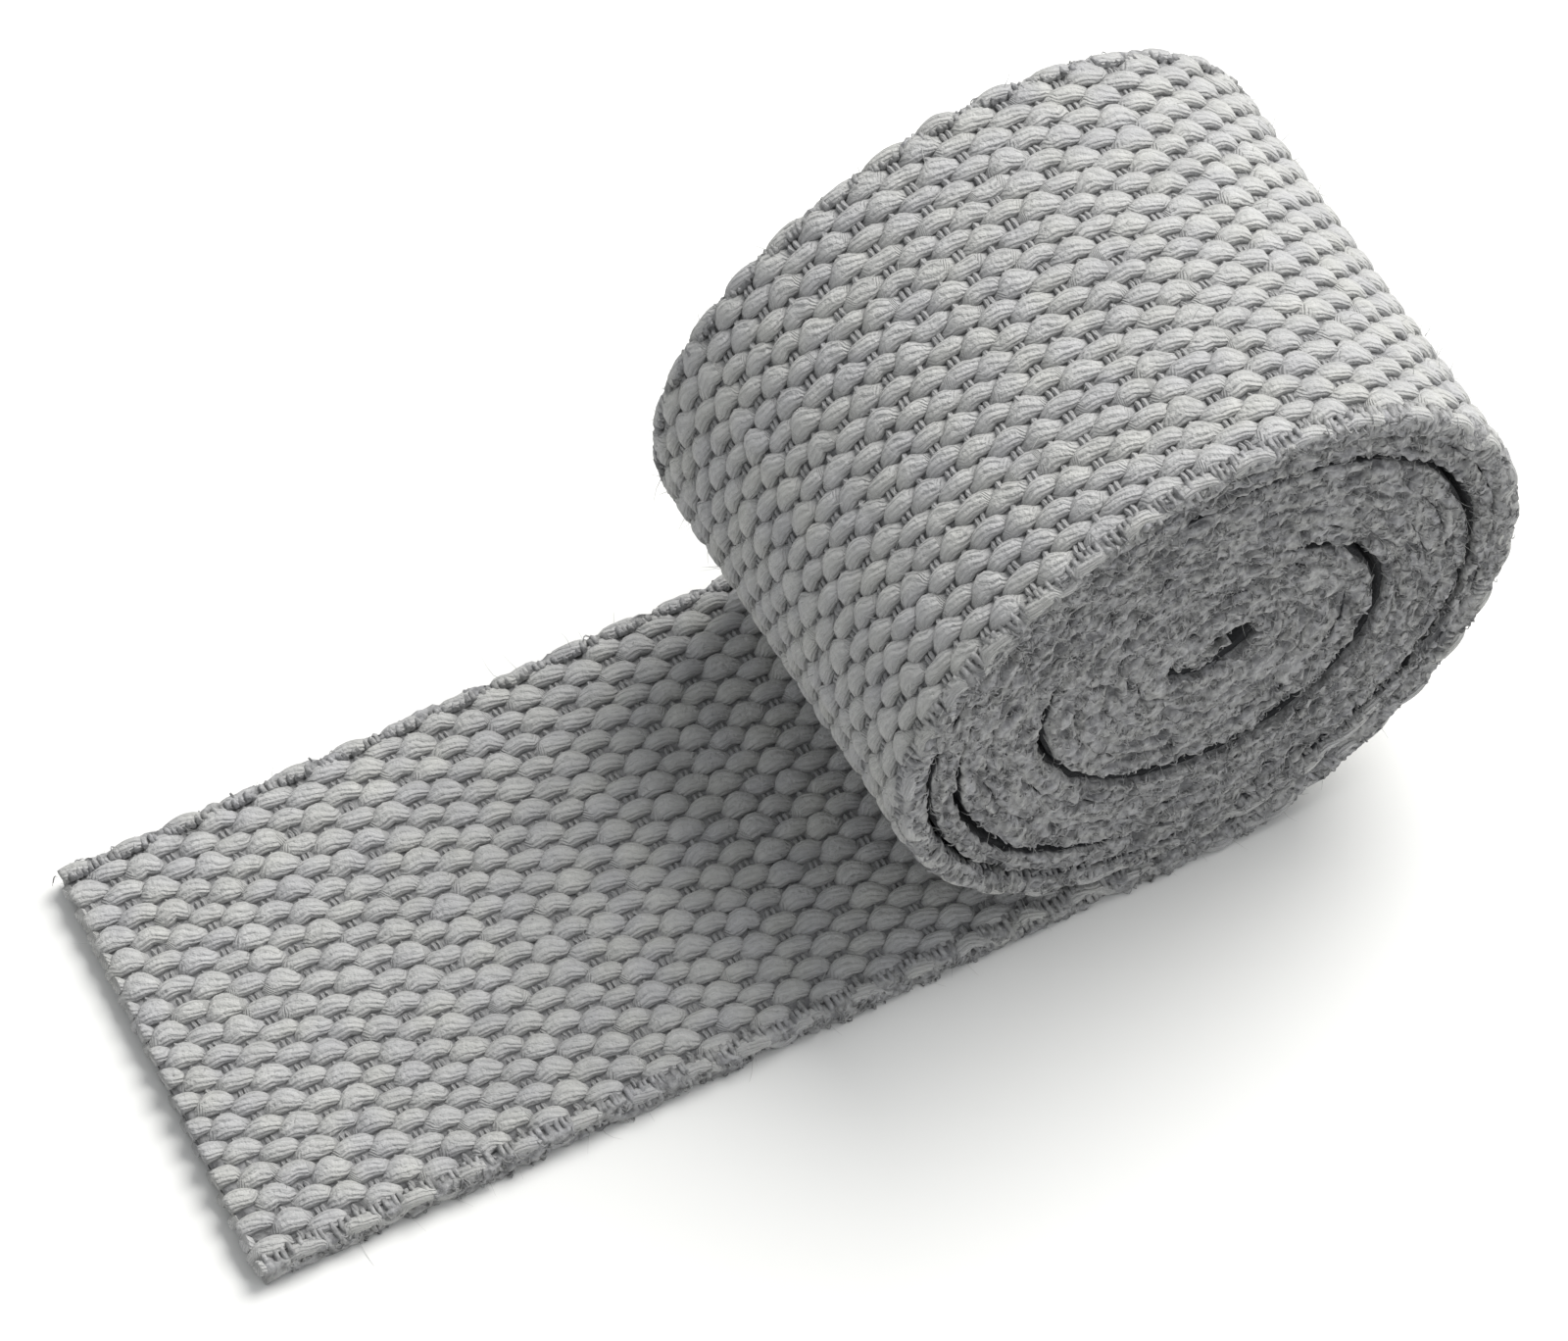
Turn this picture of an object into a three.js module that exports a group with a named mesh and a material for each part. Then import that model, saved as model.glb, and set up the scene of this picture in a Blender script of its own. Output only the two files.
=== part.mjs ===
// Roll of cotton webbing: one band wound on itself, with its loose end lying flat.
// Millimetres, +X along the band away from the loose end, +Y along the axis of the roll, +Z up.
import * as THREE from "three";

// Band
const BAND_WIDTH = 38;
const BAND_THICKNESS = 2.25;
const EDGE_ROUND = 0.55;
const EDGE_STEPS = 2;

// Winding, seen from the near end of the roll with the loose end to the left
const TURNS = 10.2;
const CORE_STARTS = 6;
const CORE_ENDS = 10;
const LEAST_APART = 0.16;
const CHORD = 3.1;
const LARGEST_STEP = 1 / 18;
const CLOSEST_POINTS = 0.9;
const EYE_X = 0.6;
const EYE_HEIGHT = 24.6;
const LAP = 2.9;
const LAP_ENDS = 0.5;
const LAP_FADE = 1.3;
const FLATTENING = 70;

// Loose end, from under the eye of the roll to its cut end
const LOOSE_LENGTH = 74.87;
const LOOSE_THICKNESS = 2.05;
const LOOSE_DRIFT = 0.4;
const CUT_SKEW = 2.9;

// Ovals that the turns follow, by their centre, half length, half height, lean and squareness
const OUTSIDE = { x: -0.5, height: 22.62, half: 24.92, rise: 19.87, lean: 0.412, square: 2.07 };
const CORE = { x: 0.6, height: 22.7, half: 13.3, rise: 10.5, lean: 0, square: 2 };
const EYE = { x: 0.7, height: 24.3, half: 3.3, rise: 1.5, lean: 0.15, square: 2 };

// Where the turns are drawn in above the loose end
const HOLLOW = { at: 0.87, reach: 0.14, depth: 1.15 };

// Slack left between a turn and the next one in: where it is widest, how far it runs, its width
const SLACK = [
  { what: "round the core, left", at: 4.7, reach: 0.16, width: 0.4 },
  { what: "round the core, below", at: 5.0, reach: 0.2, width: 0.5 },
  { what: "round the core, right", at: 5.28, reach: 0.16, width: 0.55 },
  { what: "outer turn, lower left", at: 0.87, reach: 0.12, width: 0.35 },
  { what: "second turn, lower left", at: 1.84, reach: 0.09, width: 0.5 },
  { what: "third turn, lower left", at: 2.82, reach: 0.09, width: 0.3 },
  { what: "second turn, right", at: 1.22, reach: 0.2, width: 0.45 },
  { what: "beside the eye", at: 9.12, reach: 0.1, width: 0.45 },
];

const CLOTH = new THREE.MeshStandardMaterial({
  name: "cotton_webbing",
  color: 0xb4b5b2,
  roughness: 0.95,
  metalness: 0,
});

// Direction from the eye at a place in the winding, which starts straight down
function directionAt(turn) {
  return 2 * Math.PI * turn - Math.PI / 2;
}

// How far a point at a distance from the eye is past an oval: 0 on it, less inside
function pastOval(oval, angle, radius) {
  const x = EYE_X + radius * Math.cos(angle) - oval.x;
  const height = EYE_HEIGHT + radius * Math.sin(angle) - oval.height;
  const along = x * Math.cos(oval.lean) + height * Math.sin(oval.lean);
  const across = height * Math.cos(oval.lean) - x * Math.sin(oval.lean);
  const flat = Math.abs(along / oval.half) ** oval.square;
  const tall = Math.abs(across / oval.rise) ** oval.square;
  return flat + tall - 1;
}

// Distance from the eye to an oval
function ovalRadius(oval, turn) {
  const angle = directionAt(turn);
  let inside = 0;
  let outside = 2 * oval.half;
  for (let i = 0; i < 24; i += 1) {
    const middle = (inside + outside) / 2;
    if (pastOval(oval, angle, middle) < 0) {
      inside = middle;
    } else {
      outside = middle;
    }
  }
  return inside;
}

// How far a turn lies outside the next one where it laps it, most in the outermost turn
function lapAt(turn) {
  const left = Math.max(0, 1 - (turn % 1) / LAP_ENDS);
  const step = (ovalRadius(OUTSIDE, 0) - ovalRadius(CORE, 0)) / (CORE_STARTS - 1);
  return (turn < 1 ? LAP : step) * left ** LAP_FADE;
}

// Outside of the roll that the turn starts from
function outlineRadius(turn) {
  const place = turn % 1;
  const off = Math.min(1, Math.abs(place - HOLLOW.at) / HOLLOW.reach);
  const hollow = HOLLOW.depth * (1 - off * off) ** 2;
  return ovalRadius(OUTSIDE, place) - hollow + lapAt(turn);
}

// Radius of the outer side of the band before the roll's own weight presses it flat below
function freeRadius(turn) {
  const core = ovalRadius(CORE, turn);
  if (turn < CORE_STARTS) {
    const first = (turn % 1) / CORE_STARTS;
    const start = (outlineRadius(turn) - core * first) / (1 - first);
    return THREE.MathUtils.lerp(start, core, turn / CORE_STARTS);
  }
  const share = (turn - CORE_STARTS) / (CORE_ENDS - CORE_STARTS);
  return THREE.MathUtils.lerp(core, ovalRadius(EYE, turn), share);
}

// Radius of the outer side of the band: level on the table, and pressed flat on the loose end
function outerRadius(turn) {
  const radius = freeRadius(turn);
  const down = -Math.sin(directionAt(turn));
  if (down < 0.5 || turn > 1.25) {
    return radius;
  }
  if (turn < 0.5) {
    return Math.min(radius, EYE_HEIGHT / down);
  }
  const reach = (EYE_HEIGHT - LOOSE_THICKNESS - LEAST_APART) / down;
  return (radius ** -FLATTENING + reach ** -FLATTENING) ** (-1 / FLATTENING);
}

// Room between a turn and the next one in
function slackAt(turn) {
  let slack = LEAST_APART;
  for (const row of SLACK) {
    const off = Math.abs(turn - row.at) / row.reach;
    if (off < 1) {
      slack = Math.max(slack, row.width * (1 - off * off));
    }
  }
  return Math.max(slack, LEAST_APART);
}

// Radius of the inner side of the band at a place in the winding
function innerRadius(turn) {
  const outer = outerRadius(turn);
  const full = outer - BAND_THICKNESS;
  if (turn + 1 > TURNS) {
    return Math.max(full, 0.35);
  }
  return Math.max(full, outerRadius(turn + 1) + slackAt(turn));
}

// Point of the section at a place in the winding and a distance from the eye
function sectionPoint(turn, radius) {
  const angle = directionAt(turn);
  const x = EYE_X + radius * Math.cos(angle);
  const height = EYE_HEIGHT + radius * Math.sin(angle);
  return new THREE.Vector2(x, height);
}

// Places in the winding, closer together towards the eye
function windingPlaces() {
  const places = [0];
  let turn = 0;
  while (turn < TURNS) {
    const step = CHORD / (2 * Math.PI * outerRadius(turn));
    turn = Math.min(turn + Math.min(step, LARGEST_STEP), TURNS);
    places.push(turn);
  }
  return places;
}

// Leaves out points that would crowd the one before
function spaced(points) {
  const kept = [points[0]];
  for (const point of points) {
    if (point.distanceTo(kept[kept.length - 1]) > CLOSEST_POINTS) {
      kept.push(point);
    }
  }
  return kept;
}

// Section of the whole band: outer side inwards, the inner end, inner side back out, loose end
function bandSection() {
  const places = windingPlaces();
  const outside = places.map((turn) => sectionPoint(turn, outerRadius(turn)));
  const lastLevel = outside.filter((point) => Math.abs(point.y) < 1e-6).length - 1;
  outside[lastLevel].setY(0);
  const outer = spaced(outside.slice(lastLevel).reverse()).reverse();
  const inside = places.map((turn) => sectionPoint(turn, innerRadius(turn)));
  const inner = spaced(inside.reverse());
  const cutX = EYE_X - LOOSE_LENGTH;
  const looseTop = new THREE.Vector2(cutX, LOOSE_THICKNESS);
  const looseBottom = new THREE.Vector2(cutX, 0);
  return new THREE.Shape([...outer, ...inner, looseTop, looseBottom]);
}

// The loose end drifts sideways a little, and its cut end runs askew across the band
function shiftCutEnd(geometry) {
  const position = geometry.attributes.position;
  const nearCut = EYE_X - LOOSE_LENGTH + 2 * EDGE_ROUND;
  for (let i = 0; i < position.count; i += 1) {
    if (position.getX(i) < nearCut) {
      const across = position.getZ(i) / BAND_WIDTH - 0.5;
      position.setX(i, position.getX(i) - CUT_SKEW * across);
      position.setZ(i, position.getZ(i) - LOOSE_DRIFT);
    }
  }
}

function makeWebbing() {
  const geometry = new THREE.ExtrudeGeometry(bandSection(), {
    depth: BAND_WIDTH - 2 * EDGE_ROUND,
    steps: 1,
    curveSegments: 1,
    bevelEnabled: true,
    bevelThickness: EDGE_ROUND,
    bevelSize: EDGE_ROUND,
    bevelOffset: -EDGE_ROUND,
    bevelSegments: EDGE_STEPS,
  });
  geometry.translate(0, 0, EDGE_ROUND);
  return geometry;
}

// Stands the section up, and puts the middle of the underside of the whole at the origin
function placeInFrame(geometry) {
  geometry.rotateX(Math.PI / 2);
  geometry.computeBoundingBox();
  const box = geometry.boundingBox;
  const middle = box.getCenter(new THREE.Vector3());
  geometry.translate(-middle.x, -middle.y, -box.min.z);
}

function buildPart() {
  const geometry = makeWebbing();
  shiftCutEnd(geometry);
  placeInFrame(geometry);
  const webbing = new THREE.Mesh(geometry, CLOTH);
  webbing.name = "webbing";
  const group = new THREE.Group();
  group.name = "roll_of_cotton_webbing";
  group.add(webbing);
  return group;
}

export default buildPart();
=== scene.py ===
import math

import bpy
import numpy as np
from mathutils import Matrix, Vector


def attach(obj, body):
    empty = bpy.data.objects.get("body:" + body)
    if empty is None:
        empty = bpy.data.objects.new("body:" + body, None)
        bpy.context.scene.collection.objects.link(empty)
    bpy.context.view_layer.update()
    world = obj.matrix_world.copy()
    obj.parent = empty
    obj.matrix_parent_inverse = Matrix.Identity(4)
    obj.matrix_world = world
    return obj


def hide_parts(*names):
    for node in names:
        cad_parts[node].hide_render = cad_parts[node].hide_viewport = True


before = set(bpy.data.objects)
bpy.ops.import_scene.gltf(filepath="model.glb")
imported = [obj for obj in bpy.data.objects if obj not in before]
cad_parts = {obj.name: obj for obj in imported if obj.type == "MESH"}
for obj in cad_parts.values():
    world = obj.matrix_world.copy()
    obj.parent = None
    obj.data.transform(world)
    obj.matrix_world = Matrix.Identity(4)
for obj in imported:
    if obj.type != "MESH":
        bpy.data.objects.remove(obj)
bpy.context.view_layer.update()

MM = 0.001
random = np.random.default_rng(38)

# Band and its winding, as in the solid, in mm and turns
BAND_WIDTH = 38.0
BAND_THICKNESS = 2.25
TURNS = 10.2
CORE_STARTS = 6.0
CORE_ENDS = 10.0
LEAST_APART = 0.16
EYE_X = 0.6
EYE_HEIGHT = 24.6
LAP = 2.9
LAP_ENDS = 0.5
LAP_FADE = 1.3
FLATTENING = 70.0
PRESSED_WITHIN = 0.5
PRESSED_UNTIL = 1.25
CLOSEST_TO_EYE = 0.35
LOOSE_LENGTH = 74.87
LOOSE_THICKNESS = 2.05
LOOSE_DRIFT = 0.4
CUT_SKEW = 2.9
FRAME_X = 25.398
FRAME_Y = -0.2

# Ovals that the turns follow: centre, height, half length, half height, lean and squareness
OUTSIDE = (-0.5, 22.62, 24.92, 19.87, 0.412, 2.07)
CORE = (0.6, 22.7, 13.3, 10.5, 0.0, 2.0)
EYE = (0.7, 24.3, 3.3, 1.5, 0.15, 2.0)

# Where the turns are drawn in above the loose end: place, reach and depth
HOLLOW = (0.87, 0.14, 1.15)

# Slack between a turn and the next one in: where it is widest, how far it runs, its width
SLACK = (
    (4.7, 0.16, 0.4),
    (5.0, 0.2, 0.5),
    (5.28, 0.16, 0.55),
    (0.87, 0.12, 0.35),
    (1.84, 0.09, 0.5),
    (2.82, 0.09, 0.3),
    (1.22, 0.2, 0.45),
    (9.12, 0.1, 0.45),
)

# How finely the winding is worked out
HALVINGS = 26
WINDING_PLACES = 10201
LOOSE_PLACES = 500
LOOSE_STOPS = -0.1
STEP = 0.1
EASED_THICKNESS = 8
EASED_DIRECTION = 6

# Last place of the winding where the band's face shows
FACE_ENDS = 1.13

# Where the side that shows changes over, from the loose end to the roll
CHANGEOVER = (-0.1, 0.0)

# Weave: 33 warp ends side by side, each over one pick of weft and under the next
ENDS = 33
END_PITCH = 1.145
PICK_PITCH = 2.205
YARN_THICK = 0.86
YARN_NARROW = 1.1
YARN_SIDES = 8
RINGS_PER_PICK = 6.4
ROUND_TOP = 0.62
ROUND_SIDE = 0.8
SLANT_SHARE = 0.6

# A crest is steep and a little longer than a dip, and by turns arched or spread like a tent
STEEPNESS = 1.35
LOOSE_LONGER = 0.49
ROLL_LONGER = 0.61
CREST_SPREAD = 0.42
TENT_SPREAD = 0.48
ARCH_LEAN = 0.08
TENT_LEAN = 0.02

# The outermost ends are held down by the weft that turns round them
EDGE_END_HEIGHT = 0.84
EDGE_END_SPREAD = 0.05

# How far the crests stand past the plain band on its two sides: place in the winding and mm
PROUD_OUTWARD = ((-0.02, 0.0), (0.03, 0.0), (0.1, 0.14), (1.08, 0.14), (1.2, 0.04))
PROUD_INWARD = ((-0.12, 0.1), (0.0, 0.04), (0.1, 0.04))

# How uneven the weave is, in mm or as a share, and the height of the fields that it comes from
PICK_BOW = 0.2
END_WANDER = 0.07
UNEVEN_HEIGHT = 0.07
UNEVEN_SIDEWAYS = 0.09
UNEVEN_SPREAD = 0.2
UNEVEN_LENGTH = 0.2
UNEVEN_STRAND = 0.03
FIELD_HEIGHT = 0.6

# Weft: two thin strands and one thicker by turns
WEFT_SWING = 0.3
WEFT_OUT = 0.32
WEFT_REACH = 18.3
WEFT_RINGS = 71
WEFT_SIDES = 4
STRAND_BESIDE = 0.22
THIN_STRAND = 0.2
THICK_STRAND = 0.25
# Painted shade on the weft
WEFT_SHADE = 0.6

# Painted shade in the weave: full at this depth in mm, and fading towards the cut end
FULL_SHADE = 0.95
EDGE_CLEAR = 0.2
CUT_FADE = 1.2
CUT_SHADE = 0.2

# Plies in a yarn, in mm: their spacing, slant, bends and depth, and how they are laid round it
PLY_PITCH = 0.36
PLY_SLANT = 0.22
PLY_BEND = 0.5
PLY_DEPTH = 0.07
PLY_WRAP = 1.9
PLY_SHIFT = 0.5
WEFT_PLY_WRAP = 0.7

# Patterns of the materials, by how many fit in a mm. Cotton hairs are about 0.02 mm thick, too fine
# to show one by one, so they are drawn as strands about 0.3 mm apart. A yarn's own fibres run along
# it: how many fit in a mm lengthwise, round it and through it.
PLY_BENDS_PER_MM = 0.5
FLECKS_PER_MM = 0.7
TUFTS_PER_MM = 1.9
HAIRS_PER_MM = 3.2
FELT_FIBRES_PER_MM = 3.6
YARN_FIBRES_PER_MM = (1.3, 8.0, 1.0)

# How much fibres and hairs stand out beside the plies, and the depth of a tuft in mm
FIBRE_RELIEF = 3.0
HAIR_RELIEF = 4.5
TUFT_RELIEF = 1.1
TUFT_DEPTH = 0.3

# Patches of lighter and darker dye, in mm
YARN_MOTTLE = 3.0
FELT_MOTTLE = 0.9

# Length along the band over which the askew cut fades out
CUT_REACH = 6

# Inside of the band, thinner where yarns lie over it: from and to which place, and by what share
GROUND_Y = 18.1
GROUND_THIN = 0.52
GROUND_THINS = (1.12, 1.2)
GROUND_SHARES = (1, 0.1)
GROUND_LEAST = 0.15
GROUND_STARTS = 0.3
GROUND_STOPS = 0.1
GROUND_STEP = 0.7
# Painted shade where the inside shows between the yarns
GROUND_SHADE = 0.3
GROUND_TINT = 0.3
COVERED_FROM = 1.14


def oval_radius(oval, turn):
    """Distance from the eye to an oval."""
    x0, h0, half, rise, lean, square = oval
    angle = 2 * math.pi * turn - math.pi / 2
    inside = np.zeros_like(turn)
    outside = np.full_like(turn, 2 * half)
    for _ in range(HALVINGS):
        middle = (inside + outside) / 2
        x = EYE_X + middle * np.cos(angle) - x0
        h = EYE_HEIGHT + middle * np.sin(angle) - h0
        flat = np.abs(x * math.cos(lean) + h * math.sin(lean)) / half
        tall = np.abs(h * math.cos(lean) - x * math.sin(lean)) / rise
        past = flat**square + tall**square > 1
        outside = np.where(past, middle, outside)
        inside = np.where(past, inside, middle)
    return inside


def outer_radius(turn):
    """Distance from the eye to the outer side of the band, pressed flat below."""
    place = turn % 1
    first = place / CORE_STARTS
    below = np.zeros(1)
    step = (oval_radius(OUTSIDE, below) - oval_radius(CORE, below))[0] / (CORE_STARTS - 1)
    lap = np.where(turn < 1, LAP, step) * np.maximum(0, 1 - place / LAP_ENDS) ** LAP_FADE
    off = np.minimum(1, np.abs(place - HOLLOW[0]) / HOLLOW[1])
    outline = oval_radius(OUTSIDE, place) - HOLLOW[2] * (1 - off * off) ** 2 + lap
    core = oval_radius(CORE, turn)
    start = (outline - core * first) / (1 - first)
    wide = start + (core - start) * turn / CORE_STARTS
    share = (turn - CORE_STARTS) / (CORE_ENDS - CORE_STARTS)
    tight = core + (oval_radius(EYE, turn) - core) * share
    free = np.where(turn < CORE_STARTS, wide, tight)
    down = np.cos(2 * math.pi * turn)
    pressed = (down >= PRESSED_WITHIN) & (turn <= PRESSED_UNTIL)
    safe = np.where(pressed, down, 1.0)
    on_table = np.minimum(free, EYE_HEIGHT / safe)
    reach = (EYE_HEIGHT - LOOSE_THICKNESS - LEAST_APART) / safe
    low = np.minimum(free, reach)
    ratio = (free / low) ** -FLATTENING + (reach / low) ** -FLATTENING
    on_band = low * ratio ** (-1 / FLATTENING)
    return np.where(pressed, np.where(turn < 0.5, on_table, on_band), free)


def inner_radius(turn):
    """Distance from the eye to the inner side of the band."""
    slack = np.full_like(turn, LEAST_APART)
    for at, reach, width in SLACK:
        off = np.abs(turn - at) / reach
        slack = np.maximum(slack, width * (1 - off * off))
    full = outer_radius(turn) - BAND_THICKNESS
    lapped = np.maximum(full, outer_radius(turn + 1) + slack)
    return np.where(turn + 1 > TURNS, np.maximum(full, CLOSEST_TO_EYE), lapped)


# Middle line of the band's section from the cut end to the inner end, by its length
turns = np.linspace(0, TURNS, WINDING_PLACES)
outer, inner = outer_radius(turns), inner_radius(turns)
angle = 2 * math.pi * turns - math.pi / 2
middle_radius = (outer + inner) / 2
loose_x = np.linspace(-LOOSE_LENGTH, LOOSE_STOPS, LOOSE_PLACES)
line_x = np.concatenate([loose_x, middle_radius * np.cos(angle)]) + EYE_X
line_z = np.concatenate([
    np.full(LOOSE_PLACES, LOOSE_THICKNESS / 2),
    EYE_HEIGHT + middle_radius * np.sin(angle),
])
half_thick = np.concatenate([np.full(LOOSE_PLACES, LOOSE_THICKNESS / 2), (outer - inner) / 2])
line_turn = np.concatenate([loose_x / LOOSE_LENGTH, turns])
line_s = np.concatenate([[0], np.cumsum(np.hypot(np.diff(line_x), np.diff(line_z)))])
LENGTH = line_s[-1]


def smoothed(values, reach):
    """Running mean, which keeps the ends where they are."""
    padded = np.pad(values, reach, mode="edge")
    return np.convolve(padded, np.ones(2 * reach + 1) / (2 * reach + 1), mode="valid")


# Even steps along the band, with the kinks of the section eased
even_s = np.arange(0, LENGTH, STEP)
even_x = np.interp(even_s, line_s, line_x)
even_z = np.interp(even_s, line_s, line_z)
even_turn = np.interp(even_s, line_s, line_turn)
even_half = smoothed(np.interp(even_s, line_s, half_thick), EASED_THICKNESS)
tangent_x = smoothed(np.gradient(even_x, STEP), EASED_DIRECTION)
tangent_z = smoothed(np.gradient(even_z, STEP), EASED_DIRECTION)
tangent_size = np.hypot(tangent_x, tangent_z)
tangent_x, tangent_z = tangent_x / tangent_size, tangent_z / tangent_size
S_OUTER_END = float(np.interp(FACE_ENDS, even_turn, even_s))
S_ROLL = float(np.interp(0.0, even_turn, even_s))


def along(values, s):
    """A value of the band at places along it."""
    return np.interp(s, even_s, values)


def place(s, y, n):
    """Points in metres of band places s, y across it and n out from its middle."""
    tx, tz = along(tangent_x, s), along(tangent_z, s)
    x = along(even_x, s) + np.minimum(s, 0) + tz * n + FRAME_X
    z = along(even_z, s) - tx * n
    drift = LOOSE_DRIFT * np.clip(1 - s / S_ROLL, 0, 1)
    z = np.maximum(z, 0.0)
    return np.stack([x, y + FRAME_Y + drift, z], -1) * MM


def cut_askew(s, y):
    """Places along the band, shifted near its cut end, which runs askew across it."""
    return s + np.clip(1 - s / CUT_REACH, 0, 1) * CUT_SKEW * y / BAND_WIDTH


def waves(seed, count, longest, shortest):
    """Random smooth field over two lengths in mm, about -1 to 1."""
    own = np.random.default_rng(seed)
    size = np.exp(own.uniform(math.log(shortest), math.log(longest), count))
    way = own.uniform(0, 2 * math.pi, count)
    shift = own.uniform(0, 2 * math.pi, count)

    def field(s, y):
        total = 0
        for i in range(count):
            step = 2 * math.pi / size[i]
            total = total + np.sin(step * (s * math.cos(way[i]) + y * math.sin(way[i])) + shift[i])
        return total / math.sqrt(count / 2) * FIELD_HEIGHT

    return field


def grain(seed, size):
    """Random field with lumps of one size in mm, from 0 to 1."""
    side, away = 256, 1000
    table = np.random.default_rng(seed).uniform(0, 1, (side, side))

    def field(x, y):
        u, v = x / size + away, y / size + away
        i, j = np.floor(u).astype(int), np.floor(v).astype(int)
        f, g = u - i, v - j
        f, g = f * f * (3 - 2 * f), g * g * (3 - 2 * g)
        i, j, i2, j2 = i % side, j % side, (i + 1) % side, (j + 1) % side
        low = table[i, j] * (1 - f) + table[i2, j] * f
        high = table[i, j2] * (1 - f) + table[i2, j2] * f
        return low * (1 - g) + high * g

    return field


pick_bow = waves(1, 9, 40, 7)
end_wander = waves(2, 9, 30, 5)
dye = waves(3, 14, 14, 3)


def tinted(s, y):
    """Where the dye is lighter or darker, from about 0 to 1."""
    return 0.5 + 0.5 * dye(s, y)


def proud(s, outward):
    """How far the crests stand out past the plain band on its outer or inner side, in mm."""
    places, heights = zip(*(PROUD_OUTWARD if outward else PROUD_INWARD))
    return np.interp(along(even_turn, s), places, heights)


def shown_side(s):
    """Which side of the band shows: 1 the outer one, in the roll, and -1 the inner one."""
    return np.interp(along(even_turn, s), CHANGEOVER, [-1, 1])


# Each crest's own height, shift, spread and length
CRESTS = 997
crest_table = random.normal(0, 1, (4, ENDS, CRESTS)).clip(-2, 2)


def warp_yarns(ends):
    """Mesh arrays of warp ends, as tubes that go over and under the picks."""
    y_end = (ends - (ENDS - 1) / 2) * END_PITCH
    rings = int(S_OUTER_END / PICK_PITCH * RINGS_PER_PICK) + 1
    first = CUT_SKEW * y_end / BAND_WIDTH
    share = np.linspace(0, 1, rings)
    s = first[:, None] + (S_OUTER_END - first[:, None]) * share[None, :]
    y = np.repeat(y_end[:, None], rings, axis=1)
    phase = (s + PICK_BOW * pick_bow(s, y)) / PICK_PITCH + ends[:, None]
    crest = np.round(phase).astype(int)
    height, aside, spreads, length = crest_table[:, ends[:, None], crest % CRESTS]
    wave = np.cos(math.pi * phase)
    top = wave * wave
    shown = shown_side(s)

    # Up and down: longer over the picks on the side that shows than under them
    longer = np.interp(shown, [-1, 1], [LOOSE_LONGER, ROLL_LONGER]) * (1 + UNEVEN_LENGTH * length)
    swing = np.tanh(STEEPNESS * (wave + longer * shown)) / np.tanh(STEEPNESS * (1 + longer))
    outermost = np.abs(ends - (ENDS - 1) / 2)[:, None] > (ENDS - 2) / 2
    plain = along(even_half, s) - YARN_THICK / 2 + UNEVEN_HEIGHT * height * top
    n = (plain + np.where(swing > 0, proud(s, True), proud(s, False))) * swing
    n = n * np.where(outermost, EDGE_END_HEIGHT, 1)

    # Across: an arched crest and a tent by turns, which lean to one side
    arched = (crest - ends[:, None]) % 2 == 0
    raised = np.clip(swing * shown, 0, 1)
    tent = np.clip(wave * shown, 0, 1) ** 2
    spread = np.where(arched, CREST_SPREAD * raised**2, CREST_SPREAD * raised + TENT_SPREAD * tent)
    spread = np.where(outermost, EDGE_END_SPREAD * raised, spread)
    wide = (YARN_NARROW + spread * (1 + UNEVEN_SPREAD * spreads * top)) / 2
    lean = np.where(arched, ARCH_LEAN, TENT_SPREAD / 2 + TENT_LEAN) * np.where(outermost, 0, tent)
    y = y + lean + UNEVEN_SIDEWAYS * aside * top + END_WANDER * end_wander(s, y)

    # Rings round the yarn, square to it
    ds = np.gradient(s, axis=1)
    slope_n = np.gradient(n, axis=1) / ds
    slope_y = np.gradient(y, axis=1) / ds
    size_n = np.sqrt(1 + slope_n**2)
    turned = np.linspace(0, 2 * math.pi, YARN_SIDES, endpoint=False) + math.pi / YARN_SIDES
    up, out = np.sin(turned), np.cos(turned)
    lift = YARN_THICK / 2 * np.sign(up) * np.abs(up) ** ROUND_TOP
    side = wide[..., None] * np.sign(out) * np.abs(out) ** ROUND_SIDE
    vs = s[..., None] - lift * (slope_n / size_n)[..., None]
    vs = vs - side * slope_y[..., None] * SLANT_SHARE
    vy = y[..., None] + side
    vn = n[..., None] + lift / size_n[..., None]

    # Painted shade by how deep a point lies below the face and the edge
    face = along(even_half, vs) + np.where(vn > 0, proud(vs, True), proud(vs, False))
    edge = BAND_WIDTH / 2 - EDGE_CLEAR - np.abs(vy)
    painted_shade = np.clip(np.minimum(face - np.abs(vn), edge) / FULL_SHADE, 0, 1)
    painted_shade = painted_shade * np.clip((vs - first[:, None, None]) / CUT_FADE, CUT_SHADE, 1)
    length_uv = s[..., None] + 0 * side
    round_uv = (turned / math.pi - 1) * PLY_WRAP + PLY_SHIFT * aside[..., None] + 0 * side
    return place(vs, vy, vn), {"painted_shade": painted_shade, "tint": tinted(vs, vy)}, (length_uv, round_uv)


def tube_faces(tubes, rings, sides):
    """Quads round each tube and the flat caps at its two ends."""
    t = np.arange(tubes)[:, None, None] * rings * sides
    r = np.arange(rings - 1)[None, :, None] * sides
    k = np.arange(sides)[None, None, :]
    n = (k + 1) % sides
    quads = np.stack([t + r + k, t + r + n, t + r + sides + n, t + r + sides + k], -1)
    caps = []
    for base in range(tubes):
        start = base * rings * sides
        caps.append(list(range(start + sides - 1, start - 1, -1)))
        end = start + (rings - 1) * sides
        caps.append(list(range(end, end + sides)))
    return quads.reshape(-1, 4), caps


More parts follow.
